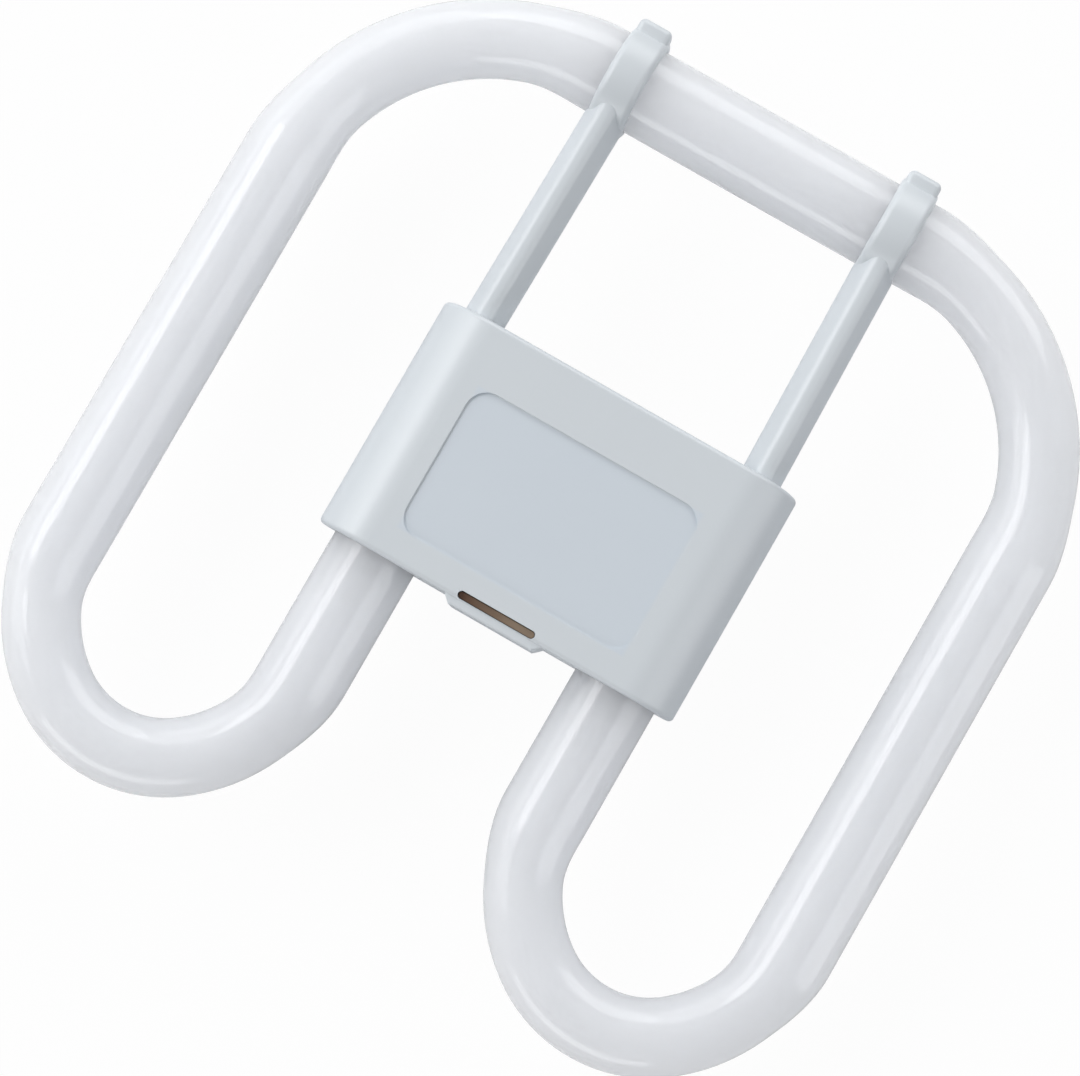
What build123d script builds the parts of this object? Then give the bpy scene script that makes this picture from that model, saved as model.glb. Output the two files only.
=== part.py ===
from build123d import *
import os
from math import cos, radians, sin

# Square double-loop fluorescent lamp, lying front up on the rim of its cap.
# X runs across the lamp, Y towards the crossbar, Z to the front. Millimetres.
# The origin is the centre of the cap's rim.

# Discharge tube
lamp_width = 138.0  # over the two outer legs
tube_height = 124.7  # crossbar axis to the lowest point of the bends' axis
tube_drop = 1.0  # the tube's middle lies this far below the housing's middle
tube_radius = 6.76  # straight stretches
corner_tube_radius = 6.0  # drawn thinner in the two upper corners
bend_tube_radius = 5.9  # and in the two lower bends
leg_inset = 9.6  # axis of an inner leg from the housing's side
corner_radius = 34.8  # of the axis in the upper corners
flank_radius = 24.7  # of the axis where a lower bend starts and ends
flank_turn = 53.5  # degrees turned on each flank, the nose turns the rest
neck_length = 11.0  # over which the tube thins where a bend starts
section_pitch = 6.0  # between the sections of a bend
leg_gap = 2.8  # the sealed ends stop this far below the pins
seal_round = 2.6  # shoulder of the sealed end
tip_radius = 1.4  # exhaust tip in the middle of the sealed end
tip_length = 3.2

# Housing: front cover and rear shell
housing_width = 60.5
housing_height = 38.1
housing_depth = 17.0
cap_depth = 10.5  # from the rear shell's flat back to the rim
wall = 1.4
edge_round = 0.8
lip_height = 1.2  # the rear shell's lip stands inside the cover
lip_thickness = 0.6
lip_clearance = 0.1
leg_clearance = 0.35
label_side_margin = 10.95
label_top_margin = 9.15
label_bottom_margin = 4.65
label_round = 3.5
label_depth = 0.35
ledge_root = 16.6  # bulge of the lower end wall round the keyway
ledge_tip = 14.0
ledge_reach = 1.2
ledge_step = 0.4  # below the front face
keyway_length = 12.9
keyway_width = 1.25
keyway_inset = 0.9  # keyway axis above the housing's lower edge
saddle_share = 0.594  # of a leg's depth in the housing, up to the ribs that carry it
saddle_thickness = 1.6
saddle_clearance = 0.9  # filled with cement
saddle_margin = 1.6
post_radius = 1.5  # the cover's posts hold the carrier down
post_side_margin = 2.8  # from the carrier's side
post_inset = 6.8  # above the housing's lower edge
post_clearance = 0.1

# Cap
cap_width = 30.0
cap_height = 20.0
cap_wall = 1.6
cap_round = 3.0
window_width = 6.0  # for the lampholder's latch
window_height = 3.0
window_place = 5.5

# Support arms and their clips
arm_inset = 6.45  # arm axis from the housing's side, at its foot
arm_lean = 0.75  # nearer to the middle at the crossbar
arm_width = 6.4
arm_height = 6.4
arm_shoulder = 2.6  # height of the upright flanks
arm_top_width = 2.3
arm_edge_round = 0.85
arm_clearance = 0.15
anchor_width = 9.4
anchor_thickness = 2.2
strap_width = 6.0
strap_thickness = 1.5
strap_round = 1.0
clip_clearance = 0.12
clip_outer_end = -20.0  # degrees from the crossbar's outer side
clip_inner_end = 220.0
lip_tab_width = 5.4
lip_tab_reach = 2.3  # beyond the crossbar's outer edge
lip_tab_bottom = 0.8
lip_tab_top = 4.9
lip_tab_round = 1.0

# Carrier, contacts and starter
carrier_side_gap = 1.89  # between the carrier and a leg
carrier_thickness = 1.6
carrier_clearance = 0.3
tongue_recess = 1.0  # tongue top below the front face
tongue_clearance = 0.12
pin_spacing = 8.0
pin_radius = 1.2
root_radius = 1.5  # the pin's thicker root, held in the shell and the carrier
root_reach = 0.3  # of the root below the shell's flat back
pin_bore = 0.7
pin_recess = 1.5  # pin tip inside the rim
pin_floor = 2.0
pin_flange_radius = 2.2
pin_flange_thickness = 0.8
pin_clearance = 0.05
starter_radius = 3.1
starter_length = 14.0
starter_share = 0.47  # of the free height, between the pins and the starter
starter_lead_gap = 1.3
starter_bridge_height = 1.6
cradle_spread = 3.6
cradle_thickness = 1.2
cradle_height = 2.6
cradle_margin = 0.8
seat_gap = 0.1
capacitor_radius = 2.3
capacitor_length = 11.0
capacitor_share = 0.285  # of the free height, above the capacitor
splice_spread = 10.8
splice_width = 2.2
splice_size = 3.0
lead_radius = 0.3
lead_bend = 1.0
lead_offset = 2.6  # each side of a leg's axis
lead_stub = 2.5  # straight out of the sealed end
sleeve_radius = 0.8
sleeve_gap = 0.05
sleeve_margin = 1.6
cement_length = 4.0
cement_gap = 0.05

# Places that follow from the sizes
rear_face = cap_depth
axis_height = cap_depth + housing_depth / 2
front_face = cap_depth + housing_depth
shell_floor = rear_face + wall
lower_edge = -housing_height / 2
upper_edge = housing_height / 2
outer_leg = lamp_width / 2 - tube_radius
inner_leg = housing_width / 2 - leg_inset
crossbar = tube_height / 2 - tube_drop
bend_bottom = -tube_height / 2 - tube_drop
leg_end = -leg_gap
saddle_place = lower_edge + saddle_share * (leg_end - lower_edge)
arm_foot_spread = housing_width / 2 - arm_inset
clip_spread = arm_foot_spread - arm_lean
label_width = housing_width - 2 * label_side_margin
label_height = housing_height - label_top_margin - label_bottom_margin
label_drop = (label_top_margin - label_bottom_margin) / 2
keyway_place = lower_edge + keyway_inset
carrier_width = 2 * (inner_leg - tube_radius - carrier_side_gap)
carrier_top = shell_floor + carrier_thickness
post_spread = carrier_width / 2 - post_side_margin
post_place = lower_edge + post_inset
free_height = upper_edge - wall - pin_flange_radius - 2 * starter_radius - 2 * capacitor_radius
starter_place = pin_flange_radius + starter_share * free_height + starter_radius
capacitor_place = upper_edge - wall - capacitor_share * free_height - capacitor_radius
starter_axis = carrier_top + seat_gap + starter_radius
capacitor_axis = carrier_top + seat_gap + capacitor_radius
hole_radius = tube_radius + leg_clearance
saddle_radius = tube_radius + saddle_clearance
big = lamp_width


def slab(low, high):
    """Block of the whole plan between two heights."""
    return Pos(0, 0, (low + high) / 2) * Box(2 * big, 2 * big, high - low)


def housing_form(inset=0.0):
    """The housing's outside, or the same form set in all round."""
    size = (housing_width - 2 * inset, housing_depth - 2 * inset)
    section = Plane((0, 0, axis_height), x_dir=(1, 0, 0), z_dir=(0, 1, 0)) * SlotOverall(*size)
    return extrude(section, housing_height / 2 - inset, both=True)


def leg_rod(side, radius, low, high):
    """Round rod along a leg's axis between two heights in Y."""
    rod = Cylinder(radius, high - low, align=(Align.CENTER, Align.CENTER, Align.MIN))
    return Pos(side * inner_leg, low, axis_height) * Rot(-90, 0, 0) * rod


def wire(points):
    """Round wire through the points, with small bends."""
    path = FilletPolyline(*points, radius=lead_bend) if len(points) > 2 else Line(*points)
    start = Plane(origin=path @ 0, z_dir=path % 0)
    return sweep(start * Circle(lead_radius), path=path)


def eased(share):
    """Smooth step from 0 to 1."""
    share = min(max(share, 0.0), 1.0)
    return share * share * (3 - 2 * share)


def bend(path, thin_radius):
    """Tube along a bend, drawn thinner away from its two ends."""
    sections = []
    count = max(6, round(path.length / section_pitch))
    for step in range(count + 1):
        share = step / count
        from_end = min(share, 1 - share) * path.length
        radius = tube_radius + (thin_radius - tube_radius) * eased(from_end / neck_length)
        place = Plane(origin=path @ share, x_dir=(0, 0, 1), z_dir=path % share)
        sections.append(place * Circle(radius))
    return loft(sections)


def straight(start, end):
    """Straight stretch of tube."""
    path = Line(start, end)
    return extrude(Plane(origin=path @ 0, z_dir=path % 0) * Circle(tube_radius), path.length)


def bend_path(side):
    """Axis of a lower bend: flank, nose and flank, all tangent."""
    half = (outer_leg - inner_leg) / 2
    turn = radians(flank_turn)
    nose_radius = (half - flank_radius * (1 - cos(turn))) / cos(turn)
    top = bend_bottom + flank_radius * sin(turn) + nose_radius * (1 - sin(turn))
    middle = (outer_leg + inner_leg) / 2
    join = flank_radius * (1 - cos(turn))
    drop = flank_radius * sin(turn)

    def at(x, y):
        return (side * x, y, axis_height)

    half_turn = turn / 2
    swing = flank_radius * (1 - cos(half_turn))
    sink = flank_radius * sin(half_turn)
    first = ThreePointArc(
        at(outer_leg, top), at(outer_leg - swing, top - sink), at(outer_leg - join, top - drop)
    )
    nose = ThreePointArc(
        at(outer_leg - join, top - drop), at(middle, bend_bottom), at(inner_leg + join, top - drop)
    )
    last = ThreePointArc(
        at(inner_leg + join, top - drop), at(inner_leg + swing, top - sink), at(inner_leg, top)
    )
    return Wire([first, nose, last]), top


def corner_path(side):
    """Axis of an upper corner, from the crossbar to the outer leg."""
    centre_x = outer_leg - corner_radius
    centre_y = crossbar - corner_radius
    middle = corner_radius * cos(radians(45))
    return ThreePointArc(
        (side * centre_x, crossbar, axis_height),
        (side * (centre_x + middle), centre_y + middle, axis_height),
        (side * outer_leg, centre_y, axis_height),
    )


def sealed_end(side, start):
    """Upper stretch of an inner leg with its rounded seal and exhaust tip."""
    leg = leg_rod(side, tube_radius, start, leg_end)
    leg = fillet(leg.faces().sort_by(Axis.Y)[-1].edges(), seal_round)
    tip = leg_rod(side, tip_radius, leg_end - wall, leg_end + tip_length)
    tip = fillet(tip.faces().sort_by(Axis.Y)[-1].edges(), tip_radius * 0.8)
    return leg + tip


def discharge_tube():
    corner_start = outer_leg - corner_radius
    tube = straight((-corner_start, crossbar, axis_height), (corner_start, crossbar, axis_height))
    for side in (-1, 1):
        path, top = bend_path(side)
        tube += bend(corner_path(side), corner_tube_radius)
        tube += straight(
            (side * outer_leg, crossbar - corner_radius, axis_height), (side * outer_leg, top, axis_height)
        )
        tube += bend(path, bend_tube_radius)
        tube += sealed_end(side, top)
    return tube


def keyway(length, width):
    """Rounded key through the whole depth at the lower end wall."""
    return extrude(Pos(0, keyway_place, 0) * SlotOverall(length, width), big)


def ledge():
    """Bulge of the lower end wall round the keyway."""
    inner = lower_edge + wall / 2
    outer = lower_edge - ledge_reach
    outline = Polygon(
        (-ledge_root / 2, inner),
        (-ledge_root / 2, lower_edge),
        (-ledge_tip / 2, outer),
        (ledge_tip / 2, outer),
        (ledge_root / 2, lower_edge),
        (ledge_root / 2, inner),
        align=None,
    )
    height = front_face - ledge_step - shell_floor
    block = Pos(0, 0, shell_floor) * extrude(outline, height)
    top = block.faces().sort_by(Axis.Z)[-1]
    return fillet(top.edges().filter_by(lambda edge: edge.center().Y < inner), edge_round / 2)


def saddles():
    """Ribs that fill the housing's section round each leg."""
    cavity = housing_form(wall / 2)
    reach = housing_width / 2 - inner_leg + tube_radius + saddle_margin
    ribs = []
    for side in (-1, 1):
        middle = side * (housing_width / 2 - reach / 2)
        rib = Pos(middle, saddle_place, axis_height) * Box(reach, saddle_thickness, housing_depth)
        rib = rib & cavity
        rib -= leg_rod(side, saddle_radius, lower_edge, upper_edge)
        ribs.append(rib)
    return ribs


def arm_section(grow=0.0):
    """Arm section in XZ, its flat underside at the housing's seam."""
    half = arm_width / 2 + grow
    top = arm_height + grow
    outline = Polygon(
        (-half, -grow),
        (half, -grow),
        (half, arm_shoulder + grow),
        (arm_top_width / 2 + grow, top),
        (-arm_top_width / 2 - grow, top),
        (-half, arm_shoulder + grow),
        align=None,
    )
    upper = outline.vertices().filter_by(lambda corner: corner.Y > 0)
    return fillet(upper, arm_edge_round)


def arm_bar(side, start, end, grow=0.0):
    """Stretch of one arm between two heights, leaning in towards the crossbar."""
    slope = (clip_spread - arm_foot_spread) / (crossbar - upper_edge)
    profile = arm_section(grow)
    ends = []
    for place in (start, end):
        spread = arm_foot_spread + slope * (place - upper_edge)
        at = Plane((side * spread, place, axis_height), x_dir=(-1, 0, 0), z_dir=(0, 1, 0))
        ends.append(at * profile)
    return loft(ends)


def crossbar_rod(radius, width, middle):
    """Round rod along the crossbar."""
    return Pos(middle, crossbar, axis_height) * Rot(0, 90, 0) * Cylinder(radius, width)


def clip(side):
    """C-shaped strap over the crossbar with a finger tab at its end."""
    bore = tube_radius + clip_clearance
    outer = bore + strap_thickness
    reach = 2 * outer
    mouth = [(0, 0)]
    turn = clip_outer_end + 360 - clip_inner_end
    for step in range(4):
        angle = radians(clip_inner_end + turn * step / 3)
        mouth.append((reach * cos(angle), reach * sin(angle)))
    ring = Circle(outer) - Circle(bore) - Polygon(*mouth, align=None)
    place = Plane((side * clip_spread, crossbar, axis_height), x_dir=(0, 1, 0), z_dir=(1, 0, 0))
    strap = extrude(place * ring, strap_width / 2, both=True)
    arcs = strap.edges().filter_by(GeomType.CIRCLE)
    strap = fillet(arcs.filter_by(lambda arc: arc.radius > outer - strap_thickness / 2), strap_round)
    tab_length = lip_tab_reach + tube_radius / 2
    tab_height = lip_tab_top - lip_tab_bottom
    tab = Box(lip_tab_width, tab_length, tab_height)
    rim = tab.edges().filter_by(lambda edge: edge.center().Y > tab_length / 2 - 0.01)
    tab = fillet(rim, lip_tab_round)
    tab_middle = crossbar + tube_radius + lip_tab_reach - tab_length / 2
    tab = Pos(side * clip_spread, tab_middle, axis_height + (lip_tab_top + lip_tab_bottom) / 2) * tab
    return strap + tab


def support_arm(side):
    foot = upper_edge - wall - arm_clearance
    anchor = Pos(side * arm_foot_spread, foot - anchor_thickness / 2, axis_height + arm_height / 2) * Box(
        anchor_width, anchor_thickness, arm_height
    )
    anchor = anchor & housing_form(wall + arm_clearance)
    bar = arm_bar(side, foot - anchor_thickness, crossbar - tube_radius / 2)
    arm = bar + anchor + clip(side)
    width = 2 * arm_width
    return arm - crossbar_rod(tube_radius + clip_clearance, width, side * clip_spread)


def end_openings():
    """Leg holes in the lower wall and arm notches in the upper wall."""
    cuts = []
    for side in (-1, 1):
        cuts.append(leg_rod(side, hole_radius, lower_edge - wall, lower_edge + 2 * wall))
        cuts.append(arm_bar(side, upper_edge - 2 * wall, upper_edge + wall, arm_clearance))
    return cuts


def rounded_form():
    """The housing's outside with its end edges rounded, and the ledge."""
    form = housing_form()
    rims = form.faces().sort_by(Axis.Y)[-1].edges() + form.faces().sort_by(Axis.Y)[0].edges()
    return fillet(rims, edge_round) + ledge()


def lip_band(extra):
    """Room for the lip between the inner wall and the outer wall."""
    cavity = housing_form(wall)
    return (housing_form(wall - lip_thickness - extra) - cavity) & slab(
        axis_height, axis_height + lip_height + extra
    )


def front_cover():
    cover = rounded_form() & slab(axis_height, front_face + wall)
    cover -= housing_form(wall)
    for rib in saddles():
        cover += rib & slab(axis_height, front_face)
    cover -= lip_band(lip_clearance)
    label = Pos(0, -label_drop, front_face - label_depth) * extrude(
        RectangleRounded(label_width, label_height, label_round), wall
    )
    cover -= label
    post_top = front_face - wall / 2
    post_foot = carrier_top + post_clearance
    for side in (-1, 1):
        post = Cylinder(post_radius, post_top - post_foot)
        cover += Pos(side * post_spread, post_place, (post_top + post_foot) / 2) * post
    cover -= keyway(keyway_length, keyway_width)
    for cut in end_openings():
        cover -= cut
    return cover


def cap_block():
    """Rectangular shroud that goes into the lampholder, with two latch windows."""
    outside = extrude(RectangleRounded(cap_width, cap_height, cap_round), shell_floor)
    inside_size = (cap_width - 2 * cap_wall, cap_height - 2 * cap_wall)
    inside = extrude(RectangleRounded(*inside_size, cap_round - cap_wall), rear_face)
    shroud = outside - inside
    window = Box(2 * cap_width, window_width, window_height)
    return shroud - Pos(0, 0, window_place) * window


def rear_shell():
    shell = rounded_form() & slab(rear_face - wall, axis_height)
    shell -= housing_form(wall)
    shell += lip_band(0)
    for rib in saddles():
        shell += rib & slab(rear_face, axis_height)
    shell += cap_block()
    pocket = keyway(keyway_length, keyway_width) & slab(shell_floor, front_face)
    shell -= pocket
    for cut in end_openings():
        shell -= cut
    for side in (-1, 1):
        hole = Cylinder(root_radius + pin_clearance, 4 * wall)
        shell -= Pos(side * pin_spacing / 2, 0, rear_face) * hole
    return shell


def contact_carrier():
    inner_height = housing_height - 2 * wall - 2 * carrier_clearance
    plate = Box(carrier_width, inner_height, carrier_thickness, align=(Align.CENTER, Align.CENTER, Align.MIN))
    plate = fillet(plate.edges().filter_by(Axis.Z), edge_round)
    carrier = Pos(0, 0, shell_floor) * plate
    key_size = (keyway_length - 2 * tongue_clearance, keyway_width - 2 * tongue_clearance)
    carrier += keyway(*key_size) & slab(shell_floor, front_face - tongue_recess)
    neck = Box(
        keyway_length - 2 * keyway_width, 2 * wall, carrier_thickness, align=(Align.CENTER, Align.MIN, Align.MIN)
    )
    carrier += Pos(0, keyway_place, shell_floor) * neck
    for side in (-1, 1):
        cradle = Box(cradle_thickness, 2 * (starter_radius + cradle_margin), cradle_height)
        middle = carrier_top + cradle_height / 2 - seat_gap
        carrier += Pos(side * cradle_spread, starter_place, middle) * cradle
        hole = Cylinder(root_radius + pin_clearance, 4 * carrier_thickness)
        carrier -= Pos(side * pin_spacing / 2, 0, shell_floor) * hole
    bottle_room = Cylinder(starter_radius + seat_gap, 2 * starter_length)
    return carrier - Pos(0, starter_place, starter_axis) * Rot(0, 90, 0) * bottle_room


def contact_pin(side):
    body = Cylinder(
        pin_radius, carrier_top - pin_recess, align=(Align.CENTER, Align.CENTER, Align.MIN)
    )
    body = fillet(body.faces().sort_by(Axis.Z)[0].edges(), pin_radius * 0.8)
    body = Pos(0, 0, pin_recess) * body
    root_foot = rear_face - root_reach
    root = Cylinder(root_radius, carrier_top - root_foot, align=(Align.CENTER, Align.CENTER, Align.MIN))
    body += Pos(0, 0, root_foot) * root
    flange = Cylinder(pin_flange_radius, pin_flange_thickness, align=(Align.CENTER, Align.CENTER, Align.MIN))
    pin = body + Pos(0, 0, carrier_top) * flange
    bore_floor = pin_recess + pin_floor
    bore = Cylinder(pin_bore, big, align=(Align.CENTER, Align.CENTER, Align.MIN))
    pin -= Pos(0, 0, bore_floor) * bore
    return Pos(side * pin_spacing / 2, 0, 0) * pin


def starter_bottle():
    glass = Cylinder(starter_radius, starter_length)
    glass = fillet(glass.edges(), starter_radius / 2)
    glass = Pos(0, starter_place, starter_axis) * Rot(0, 90, 0) * glass
    end = starter_length / 2
    root = end - wall
    near = splice_spread - splice_width / 2
    low = starter_axis - starter_lead_gap
    high = starter_axis + starter_lead_gap
    over = starter_axis + starter_radius + starter_bridge_height
    splice_top = starter_axis + splice_size / 2
    turn = end + (near - end) / 2
    short_wire = wire([(root, starter_place, low), (near, starter_place, low)])
    long_wire = wire(
        [
            (root, starter_place, high),
            (turn, starter_place, high),
            (turn, starter_place, over),
            (-splice_spread, starter_place, over),
            (-splice_spread, starter_place, splice_top),
        ]
    )
    return glass + short_wire + long_wire


def starter_capacitor():
    body = Cylinder(capacitor_radius, capacitor_length)
    body = fillet(body.edges(), capacitor_radius / 3)
    body = Pos(0, capacitor_place, capacitor_axis) * Rot(0, 90, 0) * body
    root = capacitor_length / 2 - wall
    splice_back = starter_place + splice_size / 2
    for side in (-1, 1):
        body += wire(
            [
                (side * root, capacitor_place, capacitor_axis),
                (side * splice_spread, capacitor_place, capacitor_axis),
                (side * splice_spread, splice_back, capacitor_axis),
            ]
        )
    return body


def splice(side):
    block = Box(splice_width, splice_size, splice_size)
    block = fillet(block.edges().filter_by(Axis.Z), splice_width / 6)
    return Pos(side * splice_spread, starter_place, starter_axis) * block


def inner_lead(side):
    """From the sealed end to the bore of the contact pin."""
    start = side * (inner_leg - lead_offset)
    end = side * pin_spacing / 2
    return wire(
        [(start, leg_end, axis_height), (start, 0, axis_height), (end, 0, axis_height), (end, 0, rear_face)]
    )


def outer_lead(side):
    """From the sealed end to the splice beside the starter."""
    start = side * (inner_leg + lead_offset)
    end = side * (splice_spread + splice_width / 2)
    return wire(
        [
            (start, leg_end, axis_height),
            (start, leg_end + lead_stub, axis_height),
            (start, starter_place, starter_axis),
            (end, starter_place, starter_axis),
        ]
    )


def sleeve(start, end, place, height):
    """Insulating sleeve on the stretch of a lead that runs along X."""
    low, high = sorted((start, end))
    section = Circle(sleeve_radius) - Circle(lead_radius + sleeve_gap)
    at = Plane((low + sleeve_margin, place, height), z_dir=(1, 0, 0))
    return extrude(at * section, high - low - 2 * sleeve_margin)


def inner_sleeve(side):
    return sleeve(side * pin_spacing / 2, side * (inner_leg - lead_offset), 0, axis_height)


def outer_sleeve(side):
    near = side * (splice_spread + splice_width / 2)
    return sleeve(near, side * (inner_leg + lead_offset), starter_place, starter_axis)


def tube_cement(side):
    low = saddle_place - cement_length / 2
    high = saddle_place + cement_length / 2
    ring = leg_rod(side, saddle_radius - cement_gap, low, high)
    ring -= leg_rod(side, tube_radius + cement_gap, low - wall, high + wall)
    return ring & housing_form(wall + cement_gap)


pieces = {
    "discharge_tube": discharge_tube(),
    "front_cover": front_cover(),
    "rear_shell": rear_shell(),
    "contact_carrier": contact_carrier(),
    "starter_bottle": starter_bottle(),
    "starter_capacitor": starter_capacitor(),
}
for name, side in (("left", -1), ("right", 1)):
    pieces[name + "_support_arm"] = support_arm(side)
    pieces[name + "_contact_pin"] = contact_pin(side)
    pieces[name + "_splice"] = splice(side)
    pieces[name + "_inner_lead"] = inner_lead(side)
    pieces[name + "_outer_lead"] = outer_lead(side)
    pieces[name + "_inner_sleeve"] = inner_sleeve(side)
    pieces[name + "_outer_sleeve"] = outer_sleeve(side)
    pieces[name + "_tube_cement"] = tube_cement(side)

os.makedirs("parts", exist_ok=True)
for name, piece in pieces.items():
    export_step(piece, os.path.join("parts", name + ".step"))
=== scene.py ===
import math

import bmesh
import bpy
from mathutils import Matrix, Vector


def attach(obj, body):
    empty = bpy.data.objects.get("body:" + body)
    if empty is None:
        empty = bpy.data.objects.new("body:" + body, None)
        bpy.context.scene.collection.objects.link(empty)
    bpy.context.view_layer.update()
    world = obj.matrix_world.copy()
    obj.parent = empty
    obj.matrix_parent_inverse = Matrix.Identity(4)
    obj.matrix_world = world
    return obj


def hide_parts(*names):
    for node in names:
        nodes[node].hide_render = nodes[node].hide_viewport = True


# Square double-loop fluorescent lamp, lying front up on its cap.
# Sizes in the dictionaries are millimetres, colours are linear and noise scales are per metre.
mm = 0.001
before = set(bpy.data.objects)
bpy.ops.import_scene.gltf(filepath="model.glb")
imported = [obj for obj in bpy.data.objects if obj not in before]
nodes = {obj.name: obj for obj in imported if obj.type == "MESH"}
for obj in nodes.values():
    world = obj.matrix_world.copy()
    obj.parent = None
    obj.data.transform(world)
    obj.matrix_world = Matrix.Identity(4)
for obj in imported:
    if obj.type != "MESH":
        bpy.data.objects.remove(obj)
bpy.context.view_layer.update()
print("frame:", len(nodes), "nodes")


class Wire:  # a socket that takes arithmetic
    def __init__(self, graph, socket):
        self.graph = graph
        self.socket = socket

    def maths(self, operation, first, second):
        return self.graph.node("ShaderNodeMath", {"operation": operation}, {0: first, 1: second})

    def larger(self, other):
        return self.maths("MAXIMUM", self, other)

    def __abs__(self):
        return self.graph.node("ShaderNodeMath", {"operation": "ABSOLUTE"}, {0: self})

    def __add__(self, other):
        return self.maths("ADD", self, other)

    def __radd__(self, other):
        return self.maths("ADD", other, self)

    def __sub__(self, other):
        return self.maths("SUBTRACT", self, other)

    def __rsub__(self, other):
        return self.maths("SUBTRACT", other, self)

    def __mul__(self, other):
        return self.maths("MULTIPLY", self, other)

    def __rmul__(self, other):
        return self.maths("MULTIPLY", other, self)


class Graph:  # one material's or world's nodes
    def __init__(self, owner):
        owner.use_nodes = True
        self.tree = owner.node_tree
        self.tree.nodes.clear()

    def node(self, kind, settings=None, inputs=None, output=0):
        made = self.tree.nodes.new(kind)
        for name, value in (settings or {}).items():
            setattr(made, name, value)
        for key, value in (inputs or {}).items():
            if isinstance(value, Wire):
                self.tree.links.new(value.socket, made.inputs[key])
            else:
                made.inputs[key].default_value = value
        return Wire(self, made.outputs[output]) if len(made.outputs) else None

    def place(self):
        return self.node("ShaderNodeTexCoord", {}, {}, "Object")

    def along(self, axis):
        return self.node("ShaderNodeSeparateXYZ", {}, {"Vector": self.place()}, axis)

    def ray(self, kind):
        return self.node("ShaderNodeLightPath", {}, {}, kind)

    def ramp(self, value, start, end):  # 0 at the start and 1 at the end
        ends = {"Value": value, "From Min": start, "From Max": end}
        return self.node("ShaderNodeMapRange", {"clamp": True}, ends)

    def noise(self, scale, detail=2.0, roughness=0.5, stretch=(1, 1, 1)):
        spot = self.node("ShaderNodeMapping", {}, {"Vector": self.place(), "Scale": stretch})
        pattern = {"Vector": spot, "Scale": scale, "Detail": detail, "Roughness": roughness}
        return self.node("ShaderNodeTexNoise", {}, pattern)

    def blend(self, factor, low, high):
        colours = {"Factor": factor, 6: (*low, 1), 7: (*high, 1)}
        return self.node("ShaderNodeMix", {"data_type": "RGBA"}, colours, 2)

    def bump(self, height, depth, strength=0.5):
        relief = {"Height": height, "Distance": depth * mm, "Strength": strength}
        return self.node("ShaderNodeBump", {}, relief)

    def finish(self, sockets):
        shader = self.node("ShaderNodeBsdfPrincipled", {}, sockets)
        self.node("ShaderNodeOutputMaterial", {}, {"Surface": shader})


def shared(first, second, share):  # the second takes this share
    return first * (1 - share) + second * share


def between(wire, ends):
    low, high = ends
    return low + wire * (high - low)


# The tube: white coating inside clear glass, seen as a glowing body under a gloss coat.
glassFinish = {
    "thin": (0.628, 0.65, 0.705),  # where the coating is thin
    "thick": (0.684, 0.70, 0.75),
    "cloudScale": 45.0,
    "grainScale": 2600.0,
    "grainShare": 0.25,
    "grainDepth": 0.01,
    "grainStrength": 0.3,
    "rough": (0.46, 0.58),
    "powderGloss": 0.15,
    "glowDepth": 50.0,  # how far light spreads through the coating and the hollow
    "coat": 0.8,
    "coatRoughness": 0.07,
    "glassIndex": 1.5,
}


def coatedGlass():
    made = bpy.data.materials.new("coatedGlass")
    g = Graph(made)
    s = glassFinish
    cloud = g.noise(s["cloudScale"])
    grain = g.noise(s["grainScale"])
    g.finish({
        "Base Color": g.blend(shared(cloud, grain, s["grainShare"]), s["thin"], s["thick"]),
        "Roughness": between(grain, s["rough"]),
        "IOR": s["glassIndex"],
        "Specular IOR Level": s["powderGloss"],
        "Subsurface Weight": 1.0,
        "Subsurface Radius": (1.0, 1.0, 1.0),
        "Subsurface Scale": s["glowDepth"] * mm,
        "Coat Weight": s["coat"],
        "Coat Roughness": s["coatRoughness"],
        "Coat IOR": s["glassIndex"],
        "Normal": g.bump(grain, s["grainDepth"], s["grainStrength"]),
    })
    return made


# The housing and the arms: moulded white plastic, a little bluer in the label field.
plasticFinish = {
    "low": (0.627, 0.663, 0.694),
    "high": (0.663, 0.70, 0.725),
    "cloudScale": 55.0,
    "grainScale": 3800.0,
    "grainShare": 0.3,
    "grainDepth": 0.003,
    "rough": (0.33, 0.40),
    "index": 1.6,
    "fieldTint": (0.965, 0.988, 1.02),
    "fieldWidth": 38.6,
    "fieldHeight": 24.3,
    "fieldMiddle": -2.25,  # along Y
    "fieldEdge": 0.97,  # share of the half size where the tint is full
    "fieldDepths": (26.4, 26.6),  # the tint stays above the cover's inner face
}


def labelField(g):  # 1 in the housing's label field, 0 outside it
    s = plasticFinish
    across = abs(g.along("X")) * (2 / (s["fieldWidth"] * mm))
    down = abs(g.along("Y") - s["fieldMiddle"] * mm) * (2 / (s["fieldHeight"] * mm))
    inside = g.ramp(across.larger(down), 1.0, s["fieldEdge"])
    low, high = s["fieldDepths"]
    return inside * g.ramp(g.along("Z"), low * mm, high * mm)


def whitePlastic():
    made = bpy.data.materials.new("whitePlastic")
    g = Graph(made)
    s = plasticFinish
    cloud = g.noise(s["cloudScale"], 3.0, 0.55)
    grain = g.noise(s["grainScale"])
    tone = g.blend(shared(cloud, grain, s["grainShare"]), s["low"], s["high"])
    tinting = {"Factor": labelField(g), 6: tone, 7: (*s["fieldTint"], 1)}
    tinted = g.node("ShaderNodeMix", {"data_type": "RGBA", "blend_type": "MULTIPLY"}, tinting, 2)
    g.finish({
        "Base Color": tinted,
        "Roughness": between(grain, s["rough"]),
        "IOR": s["index"],
        "Normal": g.bump(grain, s["grainDepth"]),
    })
    return made


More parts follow.
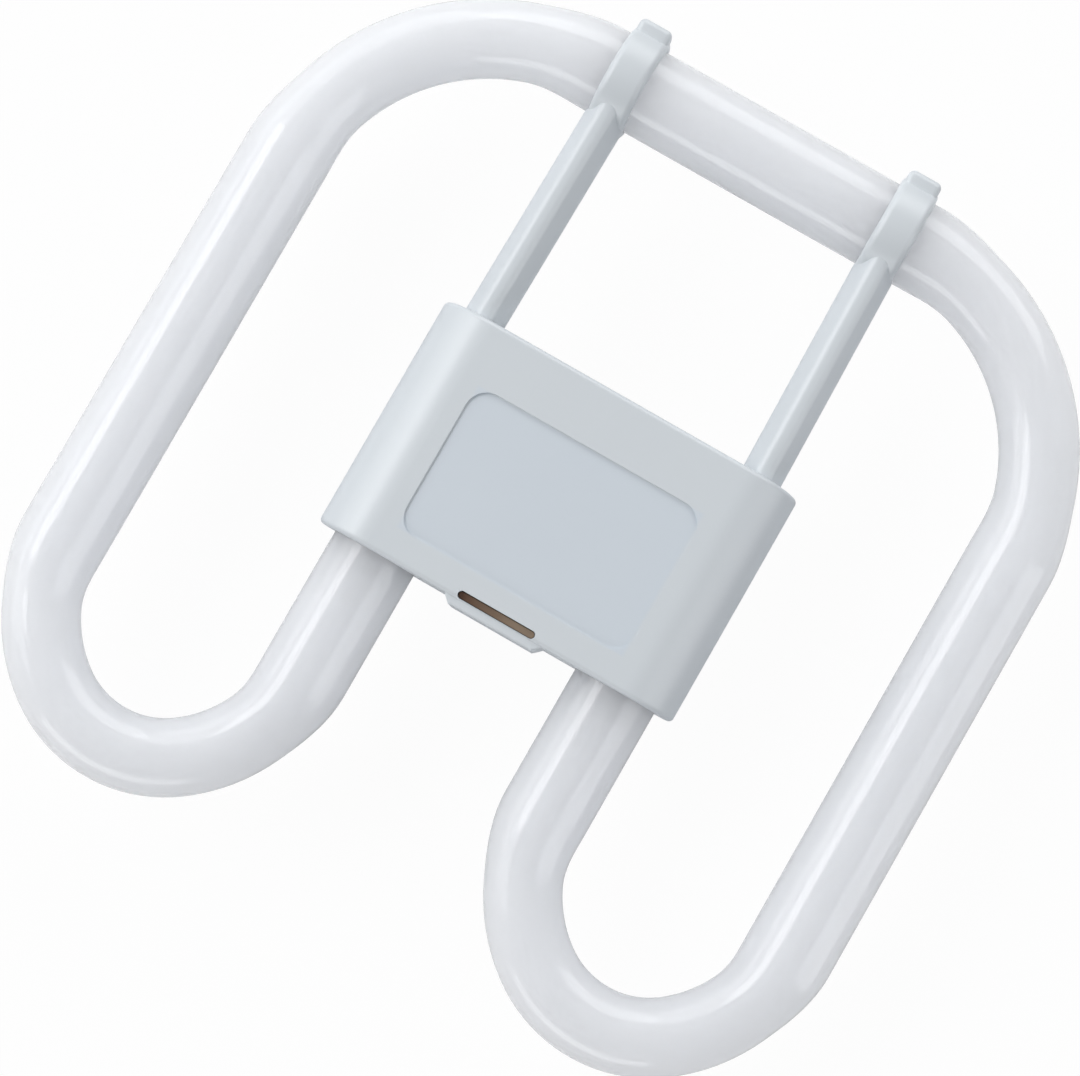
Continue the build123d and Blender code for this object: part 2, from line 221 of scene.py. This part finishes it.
# The carrier seen in the slot: brown phenolic with painted shade at its -X end and a painted highlight
# at its +X end, a colour ramp along X that stands in for the slot wall's shadow and the light falling
# in.
phenolicFinish = {
    # the darker brown is painted shade, the paler brown painted light
    "shadedBrown": (0.10, 0.042, 0.018),
    "litBrown": (0.31, 0.225, 0.155),
    "shadedEnd": -5.5,  # along X
    "litEnd": 3.5,
    "mottle": 0.45,
    "mottleScale": 620.0,
    "mottleStretch": (0.4, 1, 1),
    "grainScale": 3200.0,
    "grainDepth": 0.02,
    "rough": (0.45, 0.65),
    "index": 1.5,
}


def brownPhenolic():
    made = bpy.data.materials.new("brownPhenolic")
    g = Graph(made)
    s = phenolicFinish
    # painted shade to painted light: the colour goes from darker at -X to paler at +X
    share = g.ramp(g.along("X"), s["shadedEnd"] * mm, s["litEnd"] * mm)
    mottle = g.noise(s["mottleScale"], 3.0, 0.6, s["mottleStretch"])
    grain = g.noise(s["grainScale"])
    g.finish({
        "Base Color": g.blend(share + (mottle - 0.5) * s["mottle"], s["shadedBrown"], s["litBrown"]),
        "Roughness": between(grain, s["rough"]),
        "IOR": s["index"],
        "Normal": g.bump(grain, s["grainDepth"]),
    })
    return made


# The plain finishes: two colours that patches and a grain mix, roughness from and to, and the depth
# of the grain.
patchGrainShare = 0.3
plainFinishes = {
    "contactBrass": {
        "low": (0.62, 0.42, 0.17), "high": (0.78, 0.58, 0.28),
        "scale": 260.0, "grain": 5200.0, "rough": (0.22, 0.38), "depth": 0.006,
        "stretch": (1, 1, 0.2), "shader": {"Metallic": 1.0},
    },
    "starterGlass": {
        "low": (0.80, 0.84, 0.83), "high": (0.90, 0.92, 0.91),
        "scale": 180.0, "grain": 1500.0, "rough": (0.04, 0.10), "depth": 0.004,
        "stretch": (1, 1, 1), "shader": {"IOR": 1.5, "Coat Weight": 1.0, "Coat Roughness": 0.05},
    },
    "lacqueredCase": {
        "low": (0.52, 0.30, 0.07), "high": (0.66, 0.42, 0.12),
        "scale": 210.0, "grain": 1700.0, "rough": (0.25, 0.40), "depth": 0.02,
        "stretch": (1, 1, 1), "shader": {"IOR": 1.5},
    },
    "tinnedSteel": {
        "low": (0.52, 0.53, 0.54), "high": (0.70, 0.71, 0.72),
        "scale": 500.0, "grain": 4200.0, "rough": (0.28, 0.45), "depth": 0.01,
        "stretch": (1, 1, 1), "shader": {"Metallic": 1.0},
    },
    "leadWire": {
        "low": (0.60, 0.36, 0.24), "high": (0.74, 0.50, 0.36),
        "scale": 700.0, "grain": 5000.0, "rough": (0.25, 0.40), "depth": 0.006,
        "stretch": (1, 1, 1), "shader": {"Metallic": 1.0},
    },
    "wovenSleeve": {
        "low": (0.60, 0.59, 0.54), "high": (0.80, 0.79, 0.74),
        "scale": 900.0, "grain": 3600.0, "rough": (0.70, 0.85), "depth": 0.06,
        "stretch": (1, 1, 1), "shader": {"IOR": 1.45},
    },
    "basingCement": {
        "low": (0.56, 0.55, 0.52), "high": (0.74, 0.73, 0.70),
        "scale": 320.0, "grain": 2400.0, "rough": (0.80, 0.92), "depth": 0.10,
        "stretch": (1, 1, 1), "shader": {"IOR": 1.45},
    },
}


def plainFinish(name):
    made = bpy.data.materials.new(name)
    g = Graph(made)
    s = plainFinishes[name]
    patch = g.noise(s["scale"], 3.0, 0.55, s["stretch"])
    grain = g.noise(s["grain"])
    g.finish({
        "Base Color": g.blend(shared(patch, grain, patchGrainShare), s["low"], s["high"]),
        "Roughness": between(grain, s["rough"]),
        "Normal": g.bump(grain, s["depth"]),
        **s["shader"],
    })
    return made


finishOf = {  # by the record's slot
    "phosphor_glass": coatedGlass(),
    "white_plastic": whitePlastic(),
    "brown_phenolic": brownPhenolic(),
    "brass": plainFinish("contactBrass"),
    "starter_glass": plainFinish("starterGlass"),
    "capacitor_case": plainFinish("lacqueredCase"),
    "tinned_metal": plainFinish("tinnedSteel"),
    "lead_wire": plainFinish("leadWire"),
    "sleeve": plainFinish("wovenSleeve"),
    "cement": plainFinish("basingCement"),
}
for node in nodes.values():
    for slot in node.material_slots:
        slot.material = finishOf[slot.material.name]
print("finishes:", len(finishOf))


def only(kind, items):
    return [item for item in items if isinstance(item, kind)]


def meshFrom(name, bm):
    mesh = bpy.data.meshes.new(name)
    bm.to_mesh(mesh)
    bm.free()
    return mesh


def linked(name, data):
    made = bpy.data.objects.new(name, data)
    bpy.context.scene.collection.objects.link(made)
    return made


def newPiece(name, bm, slotName):
    for face in bm.faces:
        face.smooth = True
    piece = linked(name, meshFrom(name, bm))
    piece.data.materials.append(finishOf[slotName])
    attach(piece, "root")
    return piece


# The glass tube: half of it grows ring by ring from the crossbar's middle to a sealed end, then it is
# mirrored. A lower bend is a nose between two flanks.
tube = {
    "axisHeight": 19.0,
    "outerLeg": 62.24,  # from the middle, along X
    "innerLeg": 20.65,
    "crossbar": 61.35,  # along Y
    "bendBottom": -63.35,
    "radius": 6.744,
    "cornerTubeRadius": 5.99,
    "bendTubeRadius": 5.89,
    "neckLength": 11.0,  # over which it thins into a bend
    "cornerRadius": 34.8,
    "flankRadius": 24.7,
    "flankTurn": 53.5,  # degrees
    "legEnd": -2.8,
    "sealRound": 2.6,
    "sealSteps": 6,
    "sealFlat": 0.02,
    "tipRadius": 1.4,
    "tipLength": 3.2,
    "tipTurn": 80,  # degrees
    "tipSteps": 5,
    "around": 96,  # vertices of a ring
    "pitch": 1.2,  # between the rings of a bend
    "mergeGap": 0.01,
}


def eased(share):
    share = min(max(share, 0.0), 1.0)
    return share * share * (3 - 2 * share)


class TubeGrower:
    def __init__(self, bm, centre, heading, radius, around):
        self.bm = bm
        self.centre = Vector(centre) * mm
        self.heading = Vector(heading)
        self.radius = radius * mm
        start = Matrix.Translation(self.centre) @ Matrix.Rotation(math.radians(90), 4, "Y")
        bmesh.ops.create_circle(bm, cap_ends=False, radius=self.radius, segments=around, matrix=start)
        self.ring = bm.edges[:]

    def extrude(self):
        grown = bmesh.ops.extrude_edge_only(self.bm, edges=self.ring)["geom"]
        verts = only(bmesh.types.BMVert, grown)
        edges = only(bmesh.types.BMEdge, grown)
        fresh = set(verts)
        self.ring = [edge for edge in edges if fresh.issuperset(edge.verts)]
        return verts

    def resize(self, verts, radius):
        share = radius * mm / self.radius
        middle = Matrix.Translation(-self.centre)
        bmesh.ops.scale(self.bm, vec=(share, share, share), space=middle, verts=verts)
        self.radius = radius * mm

    def straight(self, length, radius=None):
        verts = self.extrude()
        step = self.heading * length * mm
        bmesh.ops.translate(self.bm, vec=step, verts=verts)
        self.centre = self.centre + step
        if radius is not None:
            self.resize(verts, radius)

    def bend(self, arcs, thinRadius):  # arcs turn to the right: radius of the axis and degrees
        full = self.radius / mm
        total = sum(radius * math.radians(turn) for radius, turn in arcs)
        gone = 0.0
        for axisRadius, turn in arcs:
            pivot = self.centre + Vector((self.heading.y, -self.heading.x, 0)) * axisRadius * mm
            length = axisRadius * math.radians(turn)
            steps = round(length / tube["pitch"])
            turned = Matrix.Rotation(-math.radians(turn) / steps, 3, "Z")
            for step in range(steps):
                verts = self.extrude()
                bmesh.ops.rotate(self.bm, cent=pivot, matrix=turned, verts=verts)
                self.centre = pivot + turned @ (self.centre - pivot)
                self.heading = turned @ self.heading
                gone += length / steps
                thinned = eased(min(gone, total - gone) / tube["neckLength"])
                self.resize(verts, full + (thinRadius - full) * thinned)

    def dome(self, flat, curve, turn, steps):  # rounds in over a curve that ends beside the flat
        done = 0.0
        for step in range(1, steps + 1):
            angle = math.radians(turn) * step / steps
            reach = curve * math.sin(angle)
            self.straight(reach - done, flat + curve * math.cos(angle))
            done = reach


def noseRadius():
    half = (tube["outerLeg"] - tube["innerLeg"]) / 2
    turn = math.radians(tube["flankTurn"])
    return (half - tube["flankRadius"] * (1 - math.cos(turn))) / math.cos(turn)


def bendTop():
    turn = math.radians(tube["flankTurn"])
    flank = tube["flankRadius"] * math.sin(turn)
    return tube["bendBottom"] + flank + noseRadius() * (1 - math.sin(turn))


def glassTube():
    s = tube
    bm = bmesh.new()
    start = (0, s["crossbar"], s["axisHeight"])
    grower = TubeGrower(bm, start, (1, 0, 0), s["radius"], s["around"])
    grower.straight(s["outerLeg"] - s["cornerRadius"])
    grower.bend([(s["cornerRadius"], 90)], s["cornerTubeRadius"])
    grower.straight(s["crossbar"] - s["cornerRadius"] - bendTop())
    flank = (s["flankRadius"], s["flankTurn"])
    nose = (noseRadius(), 180 - 2 * s["flankTurn"])
    grower.bend([flank, nose, flank], s["bendTubeRadius"])
    grower.straight(s["legEnd"] - s["sealRound"] - bendTop())
    grower.dome(s["radius"] - s["sealRound"], s["sealRound"], 90, s["sealSteps"])
    grower.straight(s["sealFlat"], s["tipRadius"])  # the exhaust tip stands on the seal
    grower.straight(s["tipLength"] - s["tipRadius"])
    grower.dome(0.0, s["tipRadius"], s["tipTurn"], s["tipSteps"])
    bmesh.ops.edgeloop_fill(bm, edges=grower.ring)
    half = bm.verts[:] + bm.edges[:] + bm.faces[:]
    bmesh.ops.mirror(bm, geom=half, axis="X", merge_dist=s["mergeGap"] * mm)
    bmesh.ops.recalc_face_normals(bm, faces=bm.faces)
    piece = newPiece("bent_glass_tube", bm, "phosphor_glass")
    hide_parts("discharge_tube")


glassTube()
print("glass tube made")

# The support arms: a bar with a faceted top, a strap over the crossbar and a finger tab, edges well
# rounded. Heights are above the tube's axis.
arm = {
    "footSpread": 23.8,  # from the middle, along X
    "clipSpread": 23.05,
    "housingEdge": 19.05,  # along Y
    "barStart": 15.4,
    "barEnd": 53.9,
    "barSection": [(-3.2, 0.0), (3.2, 0.0), (3.2, 2.6), (1.15, 6.4), (-1.15, 6.4), (-3.2, 2.6)],
    "barRound": 0.85,
    "footWidth": 9.3,
    "footLength": 2.0,
    "footHeight": 3.0,
    "strapWidth": 6.0,
    "strapBore": 6.88,
    "strapThickness": 1.5,
    "strapStart": -20.0,  # degrees from the crossbar's outer side
    "strapTurn": 240.0,
    "strapSteps": 64,
    "strapRound": 1.1,
    "strapRoundSteps": 6,
    "tabWidth": 5.4,
    "tabStart": 68.19,
    "tabEnd": 70.4,
    "tabBottom": 0.8,
    "tabTop": 4.9,
    "tabLean": 0.7,  # the strap falls away behind the tab's top
    "tabRound": 0.95,
    "roundSteps": 5,
    "sharpAngle": 30,  # degrees
}


def sectionFace(bm, corners):
    return bm.faces.new([bm.verts.new(Vector(corner) * mm) for corner in corners])


def rectangle(left, right, low, high):
    return [(left, low), (right, low), (right, high), (left, high)]


def extruded(bm, face, shift):
    grown = bmesh.ops.extrude_face_region(bm, geom=[face], use_keep_orig=True)["geom"]
    verts = only(bmesh.types.BMVert, grown)
    bmesh.ops.translate(bm, vec=Vector(shift) * mm, verts=verts)
    return verts


def rounded(bm, items, radius, steps, affect="EDGES"):
    bmesh.ops.bevel(
        bm, geom=items, offset=radius * mm, offset_type="OFFSET", affect=affect, segments=steps,
        profile=0.5, material=-1,
    )


def armBar(bm, side):
    s = arm
    slope = (s["clipSpread"] - s["footSpread"]) / (tube["crossbar"] - s["housingEdge"])
    start, end = s["barStart"], s["barEnd"]
    startAt, endAt = [side * (s["footSpread"] + slope * (y - s["housingEdge"])) for y in (start, end)]
    z = tube["axisHeight"]
    face = sectionFace(bm, [(startAt + x, start, z + up) for x, up in s["barSection"]])
    ends = extruded(bm, face, (endAt - startAt, end - start, 0))
    long = [edge for edge in bm.edges if sum(vert in ends for vert in edge.verts) == 1]
    rounded(bm, long, s["barRound"], s["roundSteps"])
    wall = s["strapBore"] + s["strapThickness"] / 2
    for vert in bm.verts:
        if vert.co.y > (start + end) / 2 * mm:  # the end follows the strap and stays inside its wall
            up = vert.co.z / mm - z
            vert.co.y = (tube["crossbar"] - math.sqrt(wall * wall - up * up)) * mm


def armFoot(bm, side):
    s = arm
    x, z = side * s["footSpread"], tube["axisHeight"]
    half = s["footWidth"] / 2
    corners = rectangle(x - half, x + half, z, z + s["footHeight"])
    face = sectionFace(bm, [(across, s["barStart"], up) for across, up in corners])
    extruded(bm, face, (0, s["footLength"], 0))


def armStrap(bm, side):
    s = arm
    half = s["strapWidth"] / 2
    start = math.radians(s["strapStart"])
    outwards = Vector((0, math.cos(start), math.sin(start)))
    hub = Vector((side * s["clipSpread"], tube["crossbar"], tube["axisHeight"]))
    bore = s["strapBore"]
    outer = bore + s["strapThickness"]
    corners = [(-half, bore), (-half, outer), (half, outer), (half, bore)]
    face = sectionFace(bm, [hub + Vector((x, 0, 0)) + outwards * reach for x, reach in corners])
    middle = (bore + outer) / 2
    rim = [vert for vert in face.verts if (vert.co / mm - hub).dot(outwards) > middle]
    rounded(bm, rim, s["strapRound"], s["strapRoundSteps"], "VERTICES")
    face = max(bm.faces, key=lambda found: len(found.verts))
    bmesh.ops.spin(
        bm, geom=[face, *face.edges, *face.verts], cent=hub * mm, axis=(1, 0, 0),
        angle=math.radians(s["strapTurn"]), steps=s["strapSteps"], use_merge=False, use_duplicate=False,
    )


def armTab(bm, side):
    s = arm
    x, z = side * s["clipSpread"], tube["axisHeight"]
    half = s["tabWidth"] / 2
    corners = rectangle(x - half, x + half, z + s["tabBottom"], z + s["tabTop"])
    face = sectionFace(bm, [(across, s["tabStart"], up) for across, up in corners])
    middle = z + (s["tabBottom"] + s["tabTop"]) / 2
    for vert in face.verts:
        if vert.co.z > middle * mm:
            vert.co.y -= s["tabLean"] * mm
    verts = extruded(bm, face, (0, s["tabEnd"] - s["tabStart"], 0))
    for vert in verts:
        vert.co.y = s["tabEnd"] * mm
    fromTip = [edge for edge in bm.edges if any(vert in verts for vert in edge.verts)]
    rounded(bm, fromTip, s["tabRound"], s["roundSteps"])


def supportArm(name, side):
    whole = bmesh.new()
    for shape in (armBar, armFoot, armStrap, armTab):
        bm = bmesh.new()
        shape(bm, side)
        bmesh.ops.recalc_face_normals(bm, faces=bm.faces)
        mesh = meshFrom(name, bm)
        whole.from_mesh(mesh)
        bpy.data.meshes.remove(mesh)
    piece = newPiece(name, whole, "white_plastic")
    piece.data.set_sharp_from_angle(angle=math.radians(arm["sharpAngle"]))
    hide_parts(name)


supportArm("left_support_arm", -1)
supportArm("right_support_arm", 1)
print("support arms made")

stage = {
    "floorSize": 1300.0,
    "floorDrop": 0.05,
    "paper": (0.86, 0.86, 0.86),
    "glow": 0.96,  # share of the paper that shows plain white to the camera
    "fill": (0.93, 0.96, 1.0),
    "fillStrength": 0.05,
}
plainWhite = {"Color": (1, 1, 1, 1), "Strength": 1.0}


def paperFloor():
    bm = bmesh.new()
    bmesh.ops.create_grid(bm, x_segments=1, y_segments=1, size=stage["floorSize"] * mm / 2)
    bmesh.ops.translate(bm, vec=(0, 0, -stage["floorDrop"] * mm), verts=bm.verts)
    floor = linked("paper_floor", meshFrom("paper_floor", bm))
    paper = bpy.data.materials.new("whitePaper")
    g = Graph(paper)
    matte = g.node("ShaderNodeBsdfDiffuse", {}, {"Color": (*stage["paper"], 1)})
    glow = g.node("ShaderNodeEmission", {}, plainWhite)
    seen = g.ray("Is Camera Ray") * stage["glow"] + g.ray("Is Transmission Ray")
    mixed = g.node("ShaderNodeMixShader", {}, {0: seen, 1: matte, 2: glow})
    g.node("ShaderNodeOutputMaterial", {}, {"Surface": mixed})
    floor.data.materials.append(paper)


def roomLight():
    world = bpy.data.worlds.new("room")
    bpy.context.scene.world = world
    g = Graph(world)
    fill = {"Color": (*stage["fill"], 1), "Strength": stage["fillStrength"]}
    room = g.node("ShaderNodeBackground", {}, fill)
    white = g.node("ShaderNodeBackground", {}, plainWhite)
    seen = g.ray("Is Camera Ray") + g.ray("Is Glossy Ray") + g.ray("Is Transmission Ray")
    mixed = g.node("ShaderNodeMixShader", {}, {0: seen, 1: room, 2: white})
    g.node("ShaderNodeOutputWorld", {}, {"Surface": mixed})


# Each softbox: the direction in which it stands (degrees from +X towards +Y and above the floor), the
# degrees that it covers up and down and along, its watts and its colour.
lampDistance = 2600.0
softboxes = {
    "keyBox": {
        "round": 182, "up": 47, "wide": 22, "long": 36, "watts": 18.0, "tint": (1.0, 1.0, 1.0),
    },
    "leftWall": {
        "round": 168, "up": 33, "wide": 46, "long": 86, "watts": 52.0, "tint": (0.98, 0.99, 1.0),
    },
    "lowLeft": {
        "round": 178, "up": 12, "wide": 22, "long": 96, "watts": 5.0, "tint": (0.98, 0.99, 1.0),
    },
    "rightBox": {
        "round": -2, "up": 23, "wide": 56, "long": 28, "watts": 24.0, "tint": (0.97, 0.98, 1.0),
    },
    "upperBox": {
        "round": 88, "up": 27, "wide": 34, "long": 60, "watts": 37.0, "tint": (0.98, 0.99, 1.0),
    },
    "lowerBox": {
        "round": 270, "up": 16, "wide": 20, "long": 60, "watts": 21.0, "tint": (0.98, 0.99, 1.0),
    },
}


def boxSide(degrees):
    return 2 * lampDistance * mm * math.tan(math.radians(degrees / 2))


def lightUp():
    for name, s in softboxes.items():
        data = bpy.data.lights.new(name, "AREA")
        data.shape = "RECTANGLE"
        data.size = boxSide(s["long"])
        data.size_y = boxSide(s["wide"])
        data.energy = s["watts"]
        data.color = s["tint"]
        lamp = linked(name, data)
        turn, up = math.radians(s["round"]), math.radians(s["up"])
        outwards = Vector((math.cos(turn) * math.cos(up), math.sin(turn) * math.cos(up), math.sin(up)))
        lamp.location = outwards * lampDistance * mm + Vector((0, 0, tube["axisHeight"] * mm))
        side = Vector((-math.sin(turn), math.cos(turn), 0))
        axes = Matrix((side, outwards.cross(side), outwards)).transposed()
        lamp.rotation_euler = axes.to_euler()


view = {
    "place": (16.86, -26.96, 465.93),
    "aim": (-0.37, -4.80, 19.0),
    "turn": 29.9,  # degrees, the lamp lies turned in the picture
    "lens": 100.0,
    "sensor": 36.0,
}


def photoCamera():
    data = bpy.data.cameras.new("camera")
    data.lens = view["lens"]
    data.sensor_width = view["sensor"]
    camera = linked("camera", data)
    place, aim = Vector(view["place"]) * mm, Vector(view["aim"]) * mm
    ahead = (aim - place).normalized()
    across = ahead.cross(Vector((0, 1, 0))).normalized()
    upright = Matrix((across, across.cross(ahead), -ahead)).transposed()
    turned = upright @ Matrix.Rotation(math.radians(view["turn"]), 3, "Z")
    camera.location = place
    camera.rotation_euler = turned.to_euler()
    bpy.context.scene.camera = camera


paperFloor()
roomLight()
lightUp()
photoCamera()
bpy.context.scene.view_settings.view_transform = "Standard"
print("stage, lamps and camera set")
